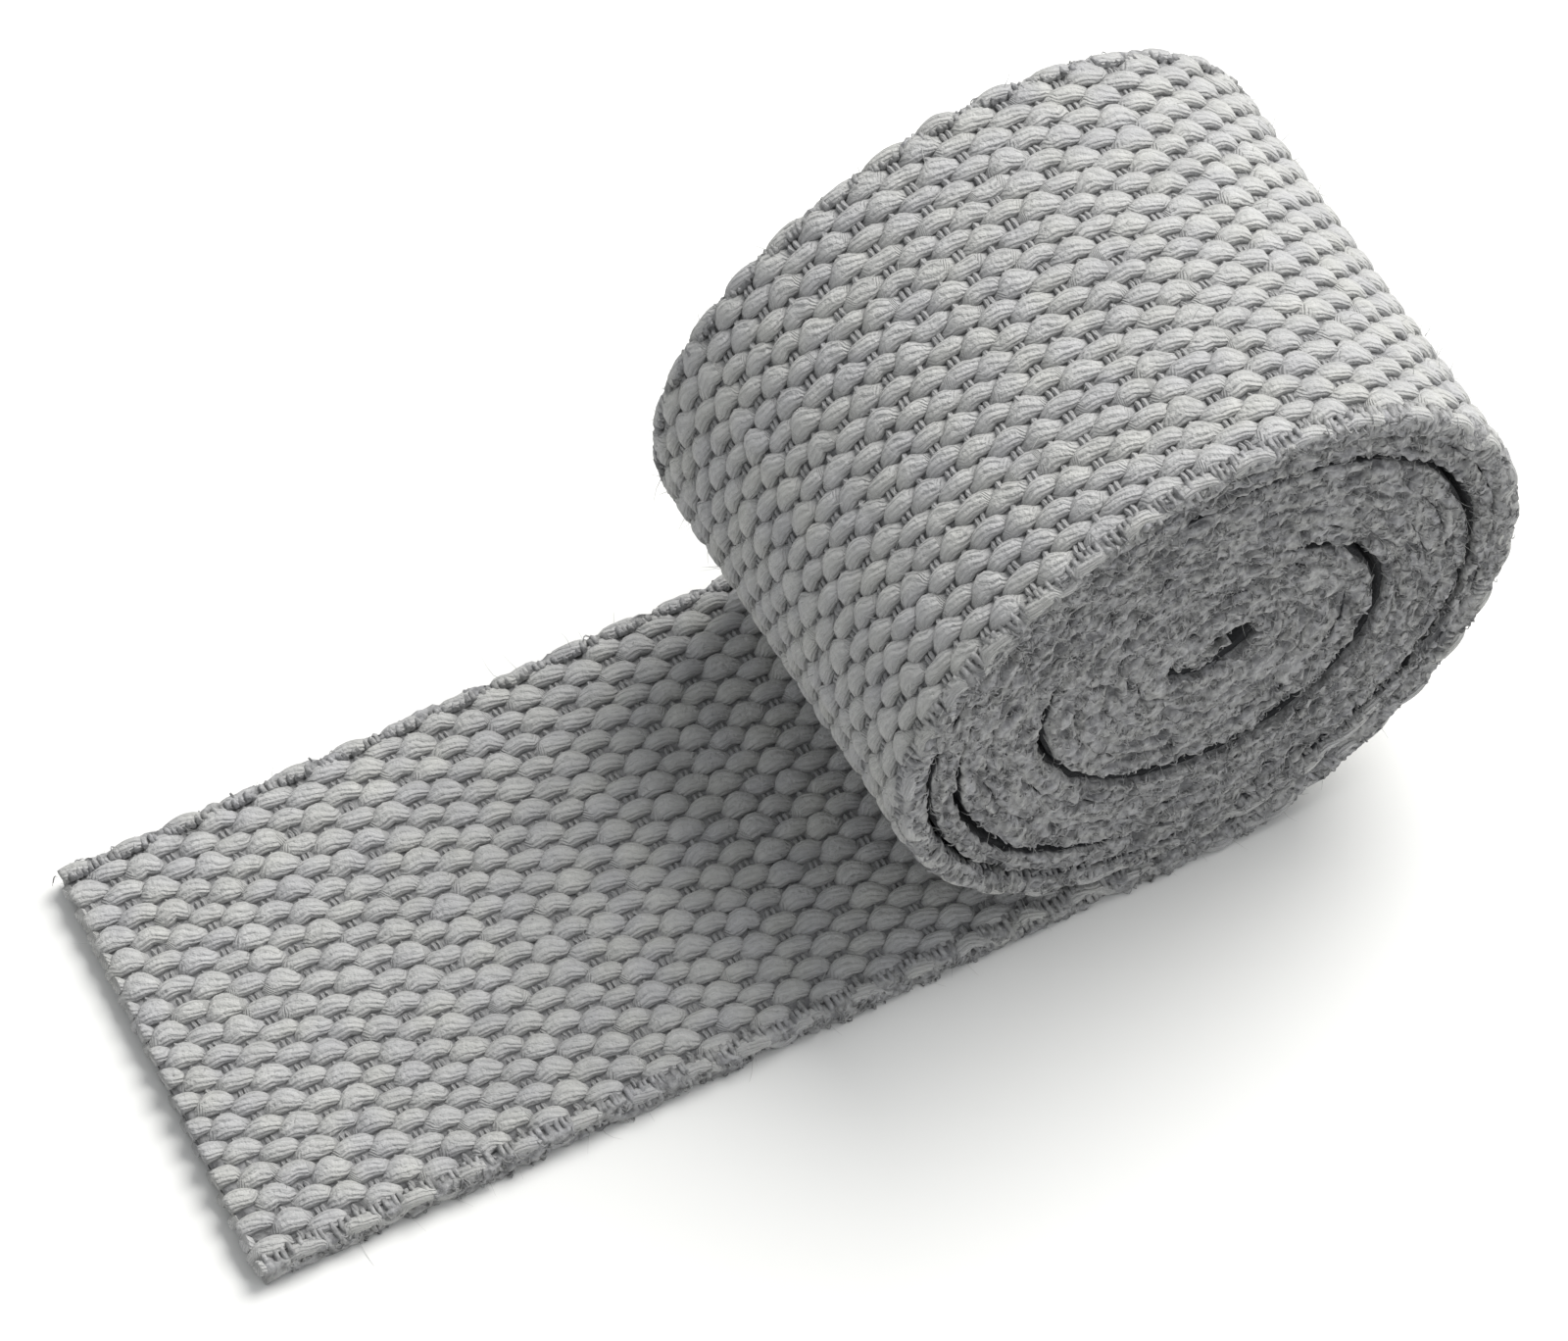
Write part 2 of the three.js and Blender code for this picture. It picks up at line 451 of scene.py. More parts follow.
def mesh_object(name, points, quads, caps, material, attributes, uv=None):
    """A mesh from arrays, with its values for each point and a UV map in mm."""
    mesh = bpy.data.meshes.new(name)
    verts = points.reshape(-1, 3)
    sizes = [4] * len(quads) + [len(cap) for cap in caps]
    loops = np.concatenate([quads.ravel()] + [np.array(cap) for cap in caps]).astype(np.int32)
    mesh.vertices.add(len(verts))
    mesh.vertices.foreach_set("co", verts.astype(np.float32).ravel())
    mesh.loops.add(len(loops))
    mesh.loops.foreach_set("vertex_index", loops)
    starts = np.concatenate([[0], np.cumsum(sizes)[:-1]]).astype(np.int32)
    mesh.polygons.add(len(sizes))
    mesh.polygons.foreach_set("loop_start", starts)
    mesh.update(calc_edges=True)
    mesh.validate()
    for label, values in attributes.items():
        layer = mesh.attributes.new(label, "FLOAT", "POINT")
        layer.data.foreach_set("value", values.astype(np.float32).ravel())
    if uv is not None:
        layer = mesh.uv_layers.new(name="UVMap")
        both = np.stack([uv[0].ravel(), uv[1].ravel()], -1)[loops]
        layer.data.foreach_set("uv", both.astype(np.float32).ravel())
    smooth = np.ones(len(sizes), dtype=bool)
    smooth[len(quads):] = False
    mesh.polygons.foreach_set("use_smooth", smooth)
    mesh.materials.append(material)
    thing = bpy.data.objects.new(name, mesh)
    bpy.context.scene.collection.objects.link(thing)
    return thing


def linear(text):
    """A colour written as sRGB hex, in linear light."""
    parts = [int(text[i:i + 2], 16) / 255 for i in (1, 3, 5)]
    return tuple(p / 12.92 if p < 0.04045 else ((p + 0.055) / 1.055) ** 2.4 for p in parts) + (1.0,)


def add(tree, kind, settings=None, links=None, values=None):
    """Adds a node with its settings, the values of its sockets and the links into it."""
    node = tree.nodes.new(kind)
    for key, value in (settings or {}).items():
        setattr(node, key, value)
    for key, value in (values or {}).items():
        node.inputs[key].default_value = value
    for key, source in (links or {}).items():
        tree.links.new(source, node.inputs[key])
    return node


def new_material(name):
    """A material with its node tree and its shader."""
    material = bpy.data.materials.new(name)
    material.use_nodes = True
    tree = material.node_tree
    shader = tree.nodes["Principled BSDF"]
    return material, tree, shader


def mottled(tree, light, dark, size):
    """Colour that drifts between two dyes in patches of a size in mm."""
    coords = add(tree, "ShaderNodeTexCoord").outputs["Object"]
    noise = add(tree, "ShaderNodeTexNoise", links={"Vector": coords},
                values={"Scale": 1 / (size * MM), "Detail": 3.0, "Roughness": 0.6})
    ramp = add(tree, "ShaderNodeValToRGB", links={0: noise.outputs["Fac"]})
    ramp.color_ramp.elements[0].position = 0.32
    ramp.color_ramp.elements[0].color = linear(dark)
    ramp.color_ramp.elements[1].position = 0.68
    ramp.color_ramp.elements[1].color = linear(light)
    tint = add(tree, "ShaderNodeAttribute", {"attribute_name": "tint"}).outputs["Fac"]
    warm = add(tree, "ShaderNodeValToRGB", links={0: tint})
    warm.color_ramp.elements[0].color = linear("#f1f1f4")
    warm.color_ramp.elements[1].color = linear("#f9f9f7")
    return add(tree, "ShaderNodeMix", {"data_type": "RGBA", "blend_type": "MULTIPLY"},
               {6: ramp.outputs["Color"], 7: warm.outputs["Color"]}, {0: 1.0}).outputs[2]


def paint_crevice_shade(tree, colour, crevice_shade, start, end):
    """Mixes a colour towards a painted crevice shade by how deep the point lies in the weave."""
    painted_shade = add(tree, "ShaderNodeAttribute", {"attribute_name": "painted_shade"}).outputs["Fac"]
    deep = add(tree, "ShaderNodeMapRange", {"interpolation_type": "SMOOTHSTEP"},
               {"Value": painted_shade}, {"From Min": start, "From Max": end})
    return add(tree, "ShaderNodeMix", {"data_type": "RGBA"},
               {0: deep.outputs[0], 6: colour}, {7: linear(crevice_shade)}).outputs[2]


def matt_cotton(shader, sheen):
    """Cotton's own finish: matt, with a faint bloom where its hairs catch the light."""
    shader.inputs["Roughness"].default_value = 0.92
    shader.inputs["IOR"].default_value = 1.53
    shader.inputs["Specular IOR Level"].default_value = 0.25
    shader.inputs["Sheen Weight"].default_value = sheen
    shader.inputs["Sheen Roughness"].default_value = 0.5
    shader.inputs["Sheen Tint"].default_value = linear("#f4f4f2")


def cotton(name, light, dark, crevice_shade, relief, sheen):
    """Unsized grey cotton yarn: matt, a little hairy, its plies side by side along it."""
    material, tree, shader = new_material(name)
    uv = add(tree, "ShaderNodeUVMap", {"uv_map": "UVMap"}).outputs[0]
    split = add(tree, "ShaderNodeSeparateXYZ", links={0: uv})
    coords = add(tree, "ShaderNodeTexCoord").outputs["Object"]
    dyed = mottled(tree, light, dark, YARN_MOTTLE)
    # Plies a third of a mm apart, slanting a little round the yarn, and fibres along them
    ply = add(tree, "ShaderNodeMath", {"operation": "MULTIPLY_ADD"},
              {0: split.outputs["X"], 2: split.outputs["Y"]}, {1: PLY_SLANT})
    wander = add(tree, "ShaderNodeTexNoise", links={"Vector": coords},
                 values={"Scale": PLY_BENDS_PER_MM / MM, "Detail": 2.0})
    bent = add(tree, "ShaderNodeMath", {"operation": "MULTIPLY_ADD"},
               {0: wander.outputs["Fac"], 2: ply.outputs[0]}, {1: PLY_BEND})
    turned = add(tree, "ShaderNodeMath", {"operation": "MULTIPLY"}, {0: bent.outputs[0]},
                 {1: 2 * math.pi / PLY_PITCH})
    plies = add(tree, "ShaderNodeMath", {"operation": "SINE"}, {0: turned.outputs[0]})
    fibre_place = add(tree, "ShaderNodeCombineXYZ",
                      links={0: split.outputs["X"], 1: bent.outputs[0]})
    stretch = add(tree, "ShaderNodeVectorMath", {"operation": "MULTIPLY"},
                  {0: fibre_place.outputs[0]}, {1: YARN_FIBRES_PER_MM})
    fibres = add(tree, "ShaderNodeTexNoise", links={"Vector": stretch.outputs[0]},
                 values={"Scale": 1.0, "Detail": 3.0, "Roughness": 0.6})
    rough = add(tree, "ShaderNodeTexNoise", links={"Vector": coords},
                values={"Scale": HAIRS_PER_MM / MM, "Detail": 2.0, "Roughness": 0.6})
    height = add(tree, "ShaderNodeMath", {"operation": "MULTIPLY_ADD"},
                 {0: fibres.outputs["Fac"], 2: plies.outputs[0]}, {1: FIBRE_RELIEF})
    height = add(tree, "ShaderNodeMath", {"operation": "MULTIPLY_ADD"},
                 {0: rough.outputs["Fac"], 2: height.outputs[0]}, {1: HAIR_RELIEF})
    bump = add(tree, "ShaderNodeBump", links={"Height": height.outputs[0]},
               values={"Strength": relief, "Distance": PLY_DEPTH * MM})
    # The grooves between plies get some painted shade
    ply_groove_shade = add(tree, "ShaderNodeMapRange", links={"Value": plies.outputs[0]},
               values={"From Min": -1.0, "From Max": 0.2, "To Min": 0.92, "To Max": 1.0})
    shaded_between = add(tree, "ShaderNodeMix", {"data_type": "RGBA", "blend_type": "MULTIPLY"},
                {6: dyed, 7: ply_groove_shade.outputs[0]}, {0: 1.0})
    streak = add(tree, "ShaderNodeMapRange", links={"Value": fibres.outputs["Fac"]},
                 values={"From Min": 0.3, "From Max": 0.65, "To Min": 0.86, "To Max": 1.04})
    streaked = add(tree, "ShaderNodeMix", {"data_type": "RGBA", "blend_type": "MULTIPLY"},
                   {6: shaded_between.outputs[2], 7: streak.outputs[0]}, {0: 1.0})
    # Painted shade in the crevices of the weave, deeper the further in a point lies
    crevice_shaded = paint_crevice_shade(tree, streaked.outputs[2], crevice_shade, 0.25, 0.95)
    tree.links.new(crevice_shaded, shader.inputs["Base Color"])
    tree.links.new(bump.outputs[0], shader.inputs["Normal"])
    matt_cotton(shader, sheen)
    return material


def felted(name, light, dark, crevice_shade, relief):
    """Cotton fibres matted together at the edge of the band, in small tufts."""
    material, tree, shader = new_material(name)
    coords = add(tree, "ShaderNodeTexCoord").outputs["Object"]
    dyed = mottled(tree, light, dark, FELT_MOTTLE)
    tufts = add(tree, "ShaderNodeTexVoronoi", {"feature": "SMOOTH_F1"}, {"Vector": coords},
                {"Scale": TUFTS_PER_MM / MM, "Smoothness": 0.6, "Randomness": 1.0})
    fibres = add(tree, "ShaderNodeTexNoise", links={"Vector": coords},
                 values={"Scale": FELT_FIBRES_PER_MM / MM, "Detail": 3.0, "Roughness": 0.65,
                         "Distortion": 0.6})
    height = add(tree, "ShaderNodeMath", {"operation": "MULTIPLY_ADD"},
                 {0: tufts.outputs["Distance"], 2: fibres.outputs["Fac"]}, {1: -TUFT_RELIEF})
    bump = add(tree, "ShaderNodeBump", links={"Height": height.outputs[0]},
               values={"Strength": relief, "Distance": TUFT_DEPTH * MM})
    # Painted shade between the tufts, then painted crevice shade in the pits and hollows
    tuft_gap_shade = add(tree, "ShaderNodeMapRange", links={"Value": height.outputs[0]},
                  values={"From Min": -0.45, "From Max": 0.15, "To Min": 0.55, "To Max": 1.04})
    shaded_between = add(tree, "ShaderNodeMix", {"data_type": "RGBA", "blend_type": "MULTIPLY"},
                {6: dyed, 7: tuft_gap_shade.outputs[0]}, {0: 1.0})
    crevice_shaded = paint_crevice_shade(tree, shaded_between.outputs[2], crevice_shade, 0.2, 0.9)
    tree.links.new(crevice_shaded, shader.inputs["Base Color"])
    tree.links.new(bump.outputs[0], shader.inputs["Normal"])
    matt_cotton(shader, 0.1)
    return material


def fibre_material():
    """Loose cotton fibres, lighter than the yarn, as they let light through."""
    material, tree, shader = new_material("cotton_fibres")
    coords = add(tree, "ShaderNodeTexCoord").outputs["Object"]
    noise = add(tree, "ShaderNodeTexNoise", links={"Vector": coords},
                values={"Scale": FLECKS_PER_MM / MM})
    ramp = add(tree, "ShaderNodeValToRGB", links={0: noise.outputs["Fac"]})
    ramp.color_ramp.elements[0].color = linear("#9fa09e")
    ramp.color_ramp.elements[1].color = linear("#d2d3d0")
    tree.links.new(ramp.outputs["Color"], shader.inputs["Base Color"])
    shader.inputs["Roughness"].default_value = 0.8
    shader.inputs["Specular IOR Level"].default_value = 0.3
    return material


# The crevice colours are painted shade for the hollows of the weave and of the matted edge
yarn_material = cotton("cotton_warp_yarn", light="#cbcbc9", dark="#bdbdbc", crevice_shade="#98989a",
                       relief=0.75, sheen=0.3)
felt_material = felted("cotton_felted_edge", light="#bababa", dark="#a0a0a0", crevice_shade="#444548",
                       relief=0.65)
# The inside of the band is coloured darker as painted shade between the yarns
shaded_ground_material = felted("cotton_inside_band_painted_shade", light="#a5a5a4", dark="#939394",
                         crevice_shade="#333436", relief=0.5)
fuzz_material = fibre_material()
pieces = []


def add_warp(name, ends):
    """Warp ends side by side, where the band's face shows."""
    points, values, uv = warp_yarns(ends)
    quads, caps = tube_faces(len(ends), points.shape[1], YARN_SIDES)
    pieces.append(mesh_object(name, points, quads, caps, yarn_material, values, uv))


def add_weft():
    """Picks of weft where the face shows: by turns two thin strands and one thicker."""
    picks = np.arange(1, int(S_OUTER_END / PICK_PITCH))
    paired, single = picks[picks % 2 == 0], picks[picks % 2 == 1]
    strands = [len(paired), len(paired), len(single)]
    pick = np.concatenate([paired, paired, single])[:, None]
    beside = np.repeat([-STRAND_BESIDE, STRAND_BESIDE, 0.0], strands)[:, None]
    thick = np.repeat([THIN_STRAND, THIN_STRAND, THICK_STRAND], strands)[:, None, None]
    y = np.linspace(-WEFT_REACH, WEFT_REACH, WEFT_RINGS)[None, :] + 0 * beside
    s = pick * PICK_PITCH + beside
    s = s - PICK_BOW * pick_bow(s, y) + UNEVEN_STRAND * random.normal(0, 1, y.shape)
    end = y / END_PITCH + (ENDS - 1) / 2
    n = WEFT_OUT * shown_side(s) - WEFT_SWING * np.cos(math.pi * (pick + end))
    turned = np.linspace(0, 2 * math.pi, WEFT_SIDES, endpoint=False)
    vs = s[..., None] + thick * np.cos(turned)
    vn = n[..., None] + thick * np.sin(turned)
    vy = y[..., None] + 0 * vs
    quads, caps = tube_faces(len(pick), WEFT_RINGS, WEFT_SIDES)
    # Painted shade on the weft, the same all along
    values = {"painted_shade": WEFT_SHADE + 0 * vs, "tint": tinted(vs, vy)}
    uv = (vy, turned / math.pi * WEFT_PLY_WRAP + 0 * vs)
    points = place(vs, vy, vn)
    pieces.append(mesh_object("weft_picks", points, quads, caps, yarn_material, values, uv))


def inside_band():
    """Inside of the band, coloured dark as painted shade, which shows in the crevices and between
    the edge yarns.
    """
    steps = np.arange(GROUND_STARTS, LENGTH - GROUND_STOPS, GROUND_STEP)
    across = np.array([-1, -0.5, 0, 0.5, 1, 1, 0.5, 0, -0.5, -1]) * GROUND_Y
    side = np.array([-1, -1, -1, -1, -1, 1, 1, 1, 1, 1.0])
    s = np.repeat(steps[:, None], len(across), axis=1)
    y = np.repeat(across[None, :], len(steps), axis=0)
    s = cut_askew(s, y)
    turn = along(even_turn, s)
    thinner = GROUND_THIN * np.interp(turn, GROUND_THINS, GROUND_SHARES)
    n = side * np.maximum(along(even_half, s) - thinner, GROUND_LEAST)
    quads, caps = tube_faces(1, len(steps), len(across))
    covered = (shown_side(s) * side < 0) | (turn > COVERED_FROM)
    # Painted shade: full where yarns cover the inside, less where it shows
    painted_shade = np.where(covered, 1.0, GROUND_SHADE)
    values = {"painted_shade": painted_shade, "tint": np.full(s.shape, GROUND_TINT)}
    points = place(s, y, n)
    return mesh_object("band_inside", points, quads, caps, shaded_ground_material, values, (s, y))


THIRD = ENDS // 3
for number, part in enumerate(("near", "middle", "far")):
    add_warp(f"warp_{part}", np.arange(number * THIRD, (number + 1) * THIRD))
add_weft()
ground = inside_band()


# Selvedge: matted fibres over the outermost warp, full of small pits. The section of its strip is
# given by the place through the band and how far it stands out, and the face lies between.
FELT_Y = 18.72
FELT_CROWN = 0.12
FELT_MERGE = 0.03
FELT_WIDEST = 0.9
FELT_DRAWN_IN = -0.26
FELT_OPEN_UNTIL = 1.1
FELT_SIDE = ((-1.0, -0.9), (-1.0, -0.3), (-0.95, -0.06))
FELT_BACK = ((0.5, -1.0), (-0.5, -1.0))
FELT_FACE = 11
FELT_FACE_HALF = 0.86
FELT_PROUD = 0.02
FELT_STARTS = 0.25
FELT_STOPS = 0.15
RAGGED = 0.34
RAGGED_FINE = 0.2

# Relief of the matted edge in mm, where on its section it sets in, and how far apart the two
# edges lie in the pattern
COARSE_RELIEF = 0.3
LUMP_RELIEF = 0.34
FINE_RELIEF = 0.26
RELIEF_BELOW = 0.45
PIT_RELIEF = 0.38
RELIEF_FROM = -0.35
RELIEF_OVER = 0.3
EDGES_APART = 90

# Pits: drawn out along the band, shifted from edge to edge, and deeper in some patches
PIT_STRETCH = 0.5
PIT_SHIFT = 7
PIT_FROM = 0.58
PIT_OVER = 0.16
PIT_LEAST = 0.45
PIT_PATCHY = 0.8

# Painted shade of the matted edge: in a pit, along its open sides and along its closed ones
PIT_SHADE = 0.65
OPEN_SHADE = 0.3
CLOSED_SHADE = 0.9
SIDE_BELOW = -0.2

coarse, lumps, pits, fine = grain(11, 3.1), grain(12, 0.75), grain(13, 0.55), grain(14, 0.36)

# Where a dark line shows between a turn's matted edge and the next one in: where it is widest, how
# far it runs and how far the edges draw back from it
OPEN_LINES = (
    (5.06, 0.4, 0.42),
    (0.87, 0.18, 0.2),
    (1.84, 0.14, 0.16),
    (1.25, 0.3, 0.22),
    (9.15, 0.42, 0.8),
)


def felt_fill(s):
    """How far the matted edge reaches past the band outwards and inwards, less where slack."""
    turn = along(even_turn, s)
    reaches = []
    for outside in (np.maximum(turn - 1, 0), np.maximum(turn, 0)):
        gap = inner_radius(outside) - outer_radius(outside + 1)
        fill = np.clip(gap, LEAST_APART, FELT_WIDEST) / 2 + FELT_MERGE
        drawn = np.zeros_like(turn)
        for at, reach, width in OPEN_LINES:
            off = np.minimum(1, np.abs(outside - at) / reach)
            drawn = np.maximum(drawn, (1 - off**3) * (fill + width))
        reaches.append(fill - drawn)
    outward, inward = reaches
    outward = np.where((turn > 0) & (turn < FELT_OPEN_UNTIL), FELT_DRAWN_IN, outward)
    inward = np.where((turn <= 0) | (turn > TURNS - 1), FELT_DRAWN_IN, inward)
    return np.where(turn <= 0, 0.0, outward), inward


def felt_surface(s, n, side):
    """How far the matted edge stands out at a place, and how much of a pit is there."""
    at = place(s, 0 * n, n) / MM
    x, z = at[..., 0] + EDGES_APART * side, at[..., 2]
    relief = COARSE_RELIEF * coarse(x, z) + LUMP_RELIEF * lumps(x, z) + FINE_RELIEF * fine(x, z)
    pit = np.clip((pits(PIT_STRETCH * s + PIT_SHIFT * side, n) - PIT_FROM) / PIT_OVER, 0, 1)
    pit = pit * np.clip(PIT_LEAST + PIT_PATCHY * coarse(z, x), 0, 1)
    return relief - RELIEF_BELOW - PIT_RELIEF * pit, pit


def selvedge(name, side, step):
    """Matted edge along one side of the whole band, as one strip."""
    s = np.arange(FELT_STARTS, LENGTH - FELT_STOPS, step)[:, None]
    start, end = np.array(FELT_SIDE), np.array(FELT_SIDE)[::-1] * [-1, 1]
    face_n = np.linspace(-FELT_FACE_HALF, FELT_FACE_HALF, FELT_FACE)
    face = np.stack([face_n, FELT_PROUD + FELT_CROWN * (1 - face_n**2)], -1)
    ring = np.concatenate([start, face, end, FELT_BACK])
    share, out = ring[None, :, 0], ring[None, :, 1]
    outward, inward = felt_fill(s)
    fill = np.where(share > 0, outward, inward)
    n = (along(even_half, s) + fill) * share
    s = s + 0 * n
    stands, pit = felt_surface(s, n, side)
    y = FELT_Y + out + stands * np.clip((out - RELIEF_FROM) / RELIEF_OVER, 0, 1)
    ragged = RAGGED * (lumps(s, 3 * n) - 0.5) + RAGGED_FINE * (fine(s, 7 * n) - 0.5)
    n = n + ragged * (np.abs(share) > 0.5)
    # Painted shade on the open and closed sides and in the pits
    side_shade = np.where(fill < SIDE_BELOW, OPEN_SHADE, CLOSED_SHADE)
    painted_shade = np.where(out < SIDE_BELOW, side_shade, PIT_SHADE * pit)
    s = cut_askew(s, side * y)
    points, tint = place(s, side * y, n), tinted(s, 5 * n)
    if side < 0:
        points, painted_shade, s, n, tint = (a[:, ::-1] for a in (points, painted_shade, s, n, tint))
    quads, caps = tube_faces(1, points.shape[0], len(ring))
    values = {"painted_shade": painted_shade, "tint": tint}
    pieces.append(mesh_object(name, points, quads, caps, felt_material, values, (s, n)))


selvedge("selvedge_near", side=-1, step=0.2)
selvedge("selvedge_far", side=1, step=0.42)

# Weft round the outermost warp
STRANDS_PER_PICK = 4
TURN_STARTS = 0.8
TURN_RINGS = 7
TURN_SIDES = 5
TURN_Y = 17.6
TURN_OUT = 1.08
TURN_BELOW = 0.12
TURN_SLANT = 0.22
TURN_ROUND = 0.7
TURN_THICK = 0.23
TURN_UNEVEN = 0.1
TURN_UNEVEN_HEIGHT = 0.06
TURN_UNEVEN_THICK = 0.02
# Painted shade on the turns, deeper further in from the edge
TURN_SHADE_Y = 18.4
TURN_SHADE_REACH = 2.4
TURN_SHADE = (0.05, 0.35)


def edge_turns(name, side):
    """Weft that turns round the outermost warp at one edge, four strands to a pick."""
    s0 = np.arange(TURN_STARTS, S_OUTER_END, PICK_PITCH / STRANDS_PER_PICK)[:, None]
    height, aside, slant, out, thick = random.normal(0, 1, (5, len(s0), 1)).clip(-2, 2)
    turn = np.linspace(-0.5, 0.5, TURN_RINGS)[None, :] * math.pi
    n = (along(even_half, s0) - TURN_BELOW + TURN_UNEVEN_HEIGHT * height) * np.sin(turn)
    s = s0 + TURN_UNEVEN * aside + (TURN_SLANT + TURN_UNEVEN * slant) * np.sin(turn)
    y = TURN_Y + (TURN_OUT + TURN_UNEVEN * out) * np.maximum(np.cos(turn), 0) ** TURN_ROUND
    path = np.stack([cut_askew(s, side * y), side * y, n], -1)
    ahead = np.gradient(path, axis=1)
    ahead /= np.linalg.norm(ahead, axis=-1, keepdims=True)
    a = np.cross(ahead, [1.0, 0.0, 0.0])
    a /= np.linalg.norm(a, axis=-1, keepdims=True)
    b = np.cross(ahead, a)
    turned = np.linspace(0, 2 * math.pi, TURN_SIDES, endpoint=False)[:, None]
    ring = a[:, :, None, :] * np.cos(turned) + b[:, :, None, :] * np.sin(turned)
    at = path[:, :, None, :] + ring * (TURN_THICK + TURN_UNEVEN_THICK * thick)[..., None, None]
    points = place(at[..., 0], at[..., 1], at[..., 2])
    quads, caps = tube_faces(len(s), TURN_RINGS, TURN_SIDES)
    # Painted shade, deeper further in from the edge
    painted_shade = np.clip((TURN_SHADE_Y - np.abs(at[..., 1])) / TURN_SHADE_REACH, *TURN_SHADE)
    values = {"painted_shade": painted_shade, "tint": tinted(at[..., 0], at[..., 1])}
    pieces.append(mesh_object(name, points, quads, caps, felt_material, values))


edge_turns("weft_turns_near", side=-1)
edge_turns("weft_turns_far", side=1)

# Curls on the matted edge: least and most half length, rise and half thickness, in mm
CURL_REACH = (0.25, 0.5)
CURL_RISE = (0.08, 0.3)
CURL_THICK = (0.045, 0.075)
CURL_BEND = 0.3
CURL_RINGS = 5
CURL_SIDES = 3
CURL_SHARE = 0.92
CURL_STARTS = 0.8
CURL_STOPS = 1
# Painted shade on the curls, and more of it in a pit
CURL_SHADE = 0.1
CURL_PIT_SHADE = 0.25


def curls(name, side, count):
    """Short arcs of yarn that stand out of the matted edge, each turned its own way."""
    own = np.random.default_rng(count)
    s = own.uniform(CURL_STARTS, LENGTH - CURL_STOPS, count)
    outward, inward = felt_fill(s)
    share = own.uniform(-CURL_SHARE, CURL_SHARE, count)
    n = (along(even_half, s) + np.where(share > 0, outward, inward)) * share
    stands, pit = felt_surface(s, n, side)
    y = FELT_Y + FELT_CROWN * (1 - share**2) + stands
    turn = own.uniform(0, math.pi, count)[:, None]
    reach = own.uniform(*CURL_REACH, count)[:, None]
    rise = own.uniform(*CURL_RISE, count)[:, None]
    thick = own.uniform(*CURL_THICK, count)[:, None, None]
    t = np.linspace(-1, 1, CURL_RINGS)[None, :]
    bend = own.normal(0, CURL_BEND, count)[:, None] * t * t
    cos, sin = np.cos(turn), np.sin(turn)
    path_s = s[:, None] + reach * (cos * t - sin * bend)
    path_n = n[:, None] + reach * (sin * t + cos * bend)
    path_y = y[:, None] + rise * (1 - 2 * t * t)
    turned = np.linspace(0, 2 * math.pi, CURL_SIDES, endpoint=False)
    around, up = thick * np.cos(turned), thick * np.sin(turned)
    at_s = path_s[..., None] - sin[..., None] * around
    at_n = path_n[..., None] + cos[..., None] * around
    at_y = path_y[..., None] + up
    points = place(at_s, side * at_y, at_n)
    if side > 0:
        points = points[:, :, ::-1]
    quads, caps = tube_faces(count, CURL_RINGS, CURL_SIDES)
    # Painted shade, more of it in a pit
    painted_shade = CURL_PIT_SHADE * pit[:, None, None] + CURL_SHADE + 0 * at_s
    values = {"painted_shade": painted_shade, "tint": own.uniform(0, 1, (count, 1, 1)) + 0 * at_s}
    pieces.append(mesh_object(name, points, quads, caps, felt_material, values))


curls("curls_near", side=-1, count=5300)
curls("curls_far", side=1, count=1300)

# Loose fibres. Single ones are 0.02 mm thick, and these stand for a few together.
FIBRE_THICK = 0.05
FIBRE_TAPER = 0.75
FIBRE_REACH = (0.5, 1.5)
FIBRE_BEND = 0.55
FIBRE_OUTWARD = 0.55
FIBRE_RINGS = 4
FIBRE_SIDES = 3
FIBRES_NEAR = 0.7
FIBRE_EDGE = (18.0, 18.5)
FIBRE_FACE_Y = 18.6
FIBRE_STARTS = 0.5
FIBRE_STOPS = 2
FIBRE_CLEAR = 0.1


def fibres(name, count, s_to, on_edges):
    """Loose fibre ends that stand off the cloth, each bent its own way."""
    own = np.random.default_rng(count)
    s = own.uniform(FIBRE_STARTS, s_to, count)
    side = np.where(own.uniform(0, 1, count) < FIBRES_NEAR, -1.0, 1.0)
    half = along(even_half, s)
    faced = np.where(s < S_ROLL, -1.0, 1.0)
    if on_edges:
        y = side * own.uniform(*FIBRE_EDGE, count)
        n = own.uniform(-1, 1, count) * half
        out = np.stack([0 * s, side, 0 * s], -1)
    else:
        y = own.uniform(-FIBRE_FACE_Y, FIBRE_FACE_Y, count)
        n = faced * (half + FIBRE_CLEAR)
        out = np.stack([0 * s, 0 * s, faced], -1)
    way = own.normal(0, 1, (count, 3))
    way = way / np.linalg.norm(way, axis=1, keepdims=True) + FIBRE_OUTWARD * out
    bend = own.normal(0, FIBRE_BEND, (count, 3))
    reach = own.uniform(*FIBRE_REACH, count)[:, None]
    t = np.linspace(0, 1, FIBRE_RINGS)[:, None, None]
    path = np.stack([s, y, n], -1) + reach * (way * t + bend * t * t)
    path = np.moveaxis(path, 0, 1)
    turned = np.linspace(0, 2 * math.pi, FIBRE_SIDES, endpoint=False)[:, None]
    thin = FIBRE_THICK / 2 * (1 - FIBRE_TAPER * np.linspace(0, 1, FIBRE_RINGS))
    flat = np.cross(way + 0.001, [0.3, 0.5, 0.81])
    flat = flat / np.linalg.norm(flat, axis=1, keepdims=True)
    other = np.cross(way / np.linalg.norm(way, axis=1, keepdims=True), flat)
    ring = flat[:, None, None, :] * np.cos(turned) + other[:, None, None, :] * np.sin(turned)
    at = path[:, :, None, :] + thin[None, :, None, None] * ring
    points = place(at[..., 0], at[..., 1], at[..., 2])
    quads, caps = tube_faces(count, FIBRE_RINGS, FIBRE_SIDES)
    pieces.append(mesh_object(name, points, quads, caps, fuzz_material, {}))


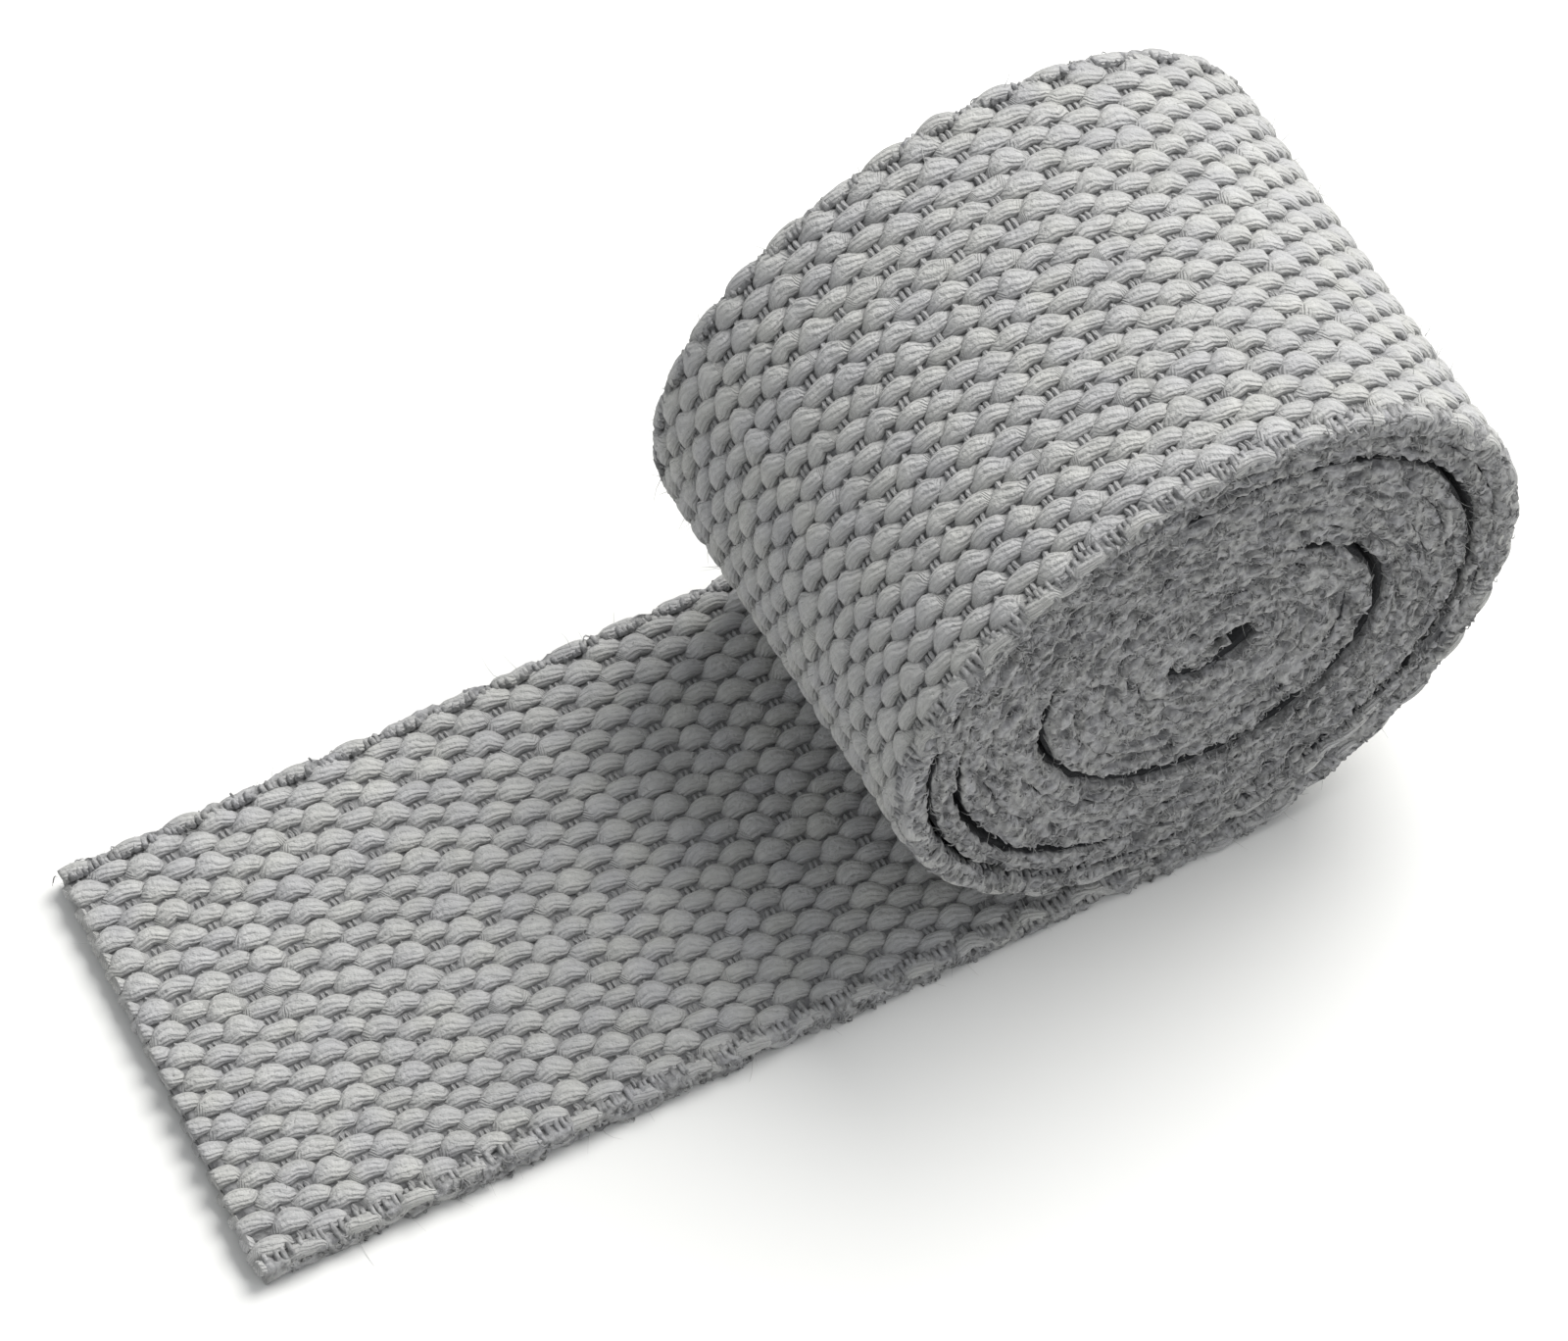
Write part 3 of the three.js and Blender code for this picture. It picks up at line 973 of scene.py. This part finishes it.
fibres("fibres_on_selvedges", count=1600, s_to=LENGTH - FIBRE_STOPS, on_edges=True)
fibres("fibres_on_faces", count=1000, s_to=S_OUTER_END, on_edges=False)

for piece in [ground, *pieces]:
    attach(piece, "root")
    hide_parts("webbing")


# Floor, light and camera, in metres and radians. The camera's place, turns and lens were worked
# out from the outlines in the picture, which is 1600 pixels wide.
FLOOR_HALF = 1.6
FLOOR_LEVEL = -0.00005
CAMERA_AT = (-0.20856, -0.44304, 0.68406)
CAMERA_YAW = 0.442814
CAMERA_DOWN = 0.938036
CAMERA_ROLL = -0.060823
PICTURE_PIXELS = 1600
LENS_PIXELS = 12006
SENSOR_MM = 36


def plain_floor():
    """Matt white ground that only the pictures show."""
    material, tree, shader = new_material("floor_matt_white")
    shader.inputs["Base Color"].default_value = linear("#f2f2f0")
    shader.inputs["Roughness"].default_value = 0.9
    mesh = bpy.data.meshes.new("floor")
    corners = [(x * FLOOR_HALF, y * FLOOR_HALF, FLOOR_LEVEL)
               for x, y in ((-1, -1), (1, -1), (1, 1), (-1, 1))]
    mesh.from_pydata(corners, [], [(0, 1, 2, 3)])
    mesh.materials.append(material)
    floor = bpy.data.objects.new("floor", mesh)
    bpy.context.scene.collection.objects.link(floor)


def area_light(name, where, aim, size, power, colour):
    """Round soft light at a place, turned to what it lights."""
    data = bpy.data.lights.new(name, "AREA")
    data.shape = "DISK"
    data.size = size
    data.energy = power
    data.color = linear(colour)[:3]
    lamp = bpy.data.objects.new(name, data)
    lamp.rotation_mode = "QUATERNION"
    lamp.rotation_quaternion = (Vector(aim) - Vector(where)).to_track_quat("-Z", "Y")
    lamp.location = where
    bpy.context.scene.collection.objects.link(lamp)


def camera():
    """Camera at the place and turn that the picture was taken from."""
    level, steep = math.cos(CAMERA_DOWN), math.sin(CAMERA_DOWN)
    ahead = np.array([math.sin(CAMERA_YAW) * level, math.cos(CAMERA_YAW) * level, -steep])
    right = np.cross(ahead, [0, 0, 1])
    right /= np.linalg.norm(right)
    up = np.cross(right, ahead)
    turned_right = math.cos(CAMERA_ROLL) * right + math.sin(CAMERA_ROLL) * up
    turned_up = -math.sin(CAMERA_ROLL) * right + math.cos(CAMERA_ROLL) * up
    data = bpy.data.cameras.new("camera")
    data.sensor_width = SENSOR_MM
    data.lens = LENS_PIXELS / PICTURE_PIXELS * SENSOR_MM
    data.clip_start = 0.05
    data.clip_end = 10
    thing = bpy.data.objects.new("camera", data)
    turn = Matrix([turned_right, turned_up, -ahead]).transposed().to_4x4()
    thing.matrix_world = Matrix.Translation(CAMERA_AT) @ turn
    bpy.context.scene.collection.objects.link(thing)
    bpy.context.scene.camera = thing


plain_floor()
area_light("key_right", where=(0.58, 0.22, 0.76), aim=(0.02, 0, 0.02), size=0.75, power=12.1,
           colour="#fffefc")
area_light("fill_front", where=(0.24, -0.3, 0.26), aim=(0.03, 0, 0.02), size=0.25, power=0.17,
           colour="#fbfcff")
world = bpy.data.worlds.new("studio")
world.use_nodes = True
background = world.node_tree.nodes["Background"]
background.inputs["Color"].default_value = linear("#f4f6f8")
background.inputs["Strength"].default_value = 0.52
bpy.context.scene.world = world
bpy.context.scene.view_settings.view_transform = "Standard"
camera()
